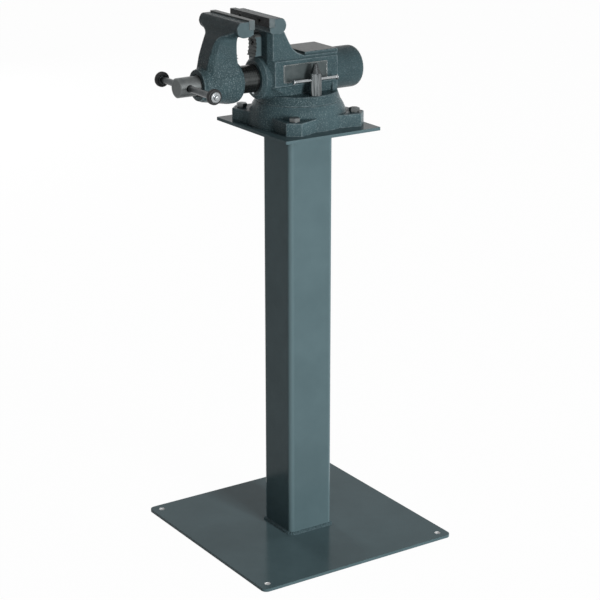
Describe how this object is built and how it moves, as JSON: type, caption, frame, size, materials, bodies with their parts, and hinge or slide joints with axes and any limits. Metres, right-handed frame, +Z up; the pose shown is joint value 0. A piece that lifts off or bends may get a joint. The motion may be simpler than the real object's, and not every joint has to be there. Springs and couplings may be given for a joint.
{
  "type": "vise pedestal stand",
  "caption": "Steel pedestal on a square floor plate carrying a swivelling bench vise with sliding jaw, screw spindle, tee handle and swivel lock nuts.",
  "frame": {"origin": "centre of the floor plate's underside, on the floor", "axes": "+Z up along the column; +X along the vise's slide, from the moving jaw towards the rear cap; +Y across the vise, away from the side with the blank plate"},
  "size_m": [0.4996, 0.4572, 1.0817],
  "materials": {
    "stand_coat": "semi-gloss powder coat",
    "cast_paint": "hammered enamel on cast iron",
    "zinc_steel": "zinc plated",
    "bright_steel": "machined",
    "dark_steel": "hardened and blackened",
    "black_screw": "black oxide",
    "plate_metal": "blank plate with bright rim",
    "ring_rubber": "matt"
  },
  "bodies": {
    "stand": {"floor_plate": "stand_coat", "column_tube": "stand_coat", "foot_weld": "stand_coat", "head_weld": "stand_coat", "head_plate": "stand_coat", "swivel_base": "cast_paint", "mounting_bolts": "zinc_steel"},
    "vise_body": {"body_casting": "cast_paint", "rear_cap": "cast_paint", "spindle_nut": "bright_steel", "guide_key": "bright_steel", "name_plate": "plate_metal", "rear_insert": "dark_steel", "rear_insert_screws": "black_screw", "rear_pipe_jaw": "dark_steel", "rear_pipe_jaw_screw": "black_screw", "t_bolt_near": "bright_steel", "t_bolt_far": "bright_steel"},
    "front_jaw": {"front_jaw_casting": "cast_paint", "slide_tube": "dark_steel", "front_insert": "dark_steel", "front_insert_screws": "black_screw", "front_pipe_jaw": "dark_steel", "front_pipe_jaw_screw": "black_screw", "thrust_washer": "bright_steel"},
    "spindle": {"spindle": "bright_steel", "retaining_collar": "bright_steel", "collar_pin": "bright_steel"},
    "handle": {"handle_bar": "zinc_steel", "handle_washers": "zinc_steel", "handle_ring_near": "ring_rubber", "handle_ring_far": "ring_rubber", "handle_end_near": "zinc_steel", "handle_end_far": "zinc_steel"},
    "lock_nut_near": {"lock_nut_near": "zinc_steel"},
    "lock_nut_far": {"lock_nut_far": "zinc_steel"},
    "lock_bar_near": {"lock_bar_near": "zinc_steel"},
    "lock_bar_far": {"lock_bar_far": "zinc_steel"}
  },
  "joints": [
    {"name": "vise_swivel", "type": "hinge", "parent": "stand", "child": "vise_body", "pos_m": [0, 0, 0.9057], "axis": [0, 0, 1], "continuous": true},
    {"name": "spindle_turn", "type": "hinge", "parent": "front_jaw", "child": "spindle", "pos_m": [-0.22, 0, 0.9567], "axis": [1, 0, 0], "range_deg": [-6732, 2232]},
    {"name": "jaw_slide", "type": "slide", "parent": "vise_body", "child": "front_jaw", "axis": [1, 0, 0], "range_m": [-0.095, 0.0315]},
    {"name": "handle_slide", "type": "slide", "parent": "spindle", "child": "handle", "axis": [0, 1, 0], "range_m": [-0.0605, 0.0785]},
    {"name": "lock_nut_near_turn", "type": "hinge", "parent": "vise_body", "child": "lock_nut_near", "pos_m": [-0.003, -0.066, 0.9235], "axis": [0, 0, 1], "range_deg": [-8, 8]},
    {"name": "lock_bar_near_slide", "type": "slide", "parent": "lock_nut_near", "child": "lock_bar_near", "axis": [1, 0, 0], "range_m": [-0.033, 0.033]},
    {"name": "lock_nut_far_turn", "type": "hinge", "parent": "vise_body", "child": "lock_nut_far", "pos_m": [-0.003, 0.066, 0.9235], "axis": [0, 0, 1], "range_deg": [-8, 8]},
    {"name": "lock_bar_far_slide", "type": "slide", "parent": "lock_nut_far", "child": "lock_bar_far", "axis": [1, 0, 0], "range_m": [-0.033, 0.033]}
  ],
  "couplings": [
    {"joint": "jaw_slide", "follows": "spindle_turn", "m_per_rad": 0.00080851}
  ]
}
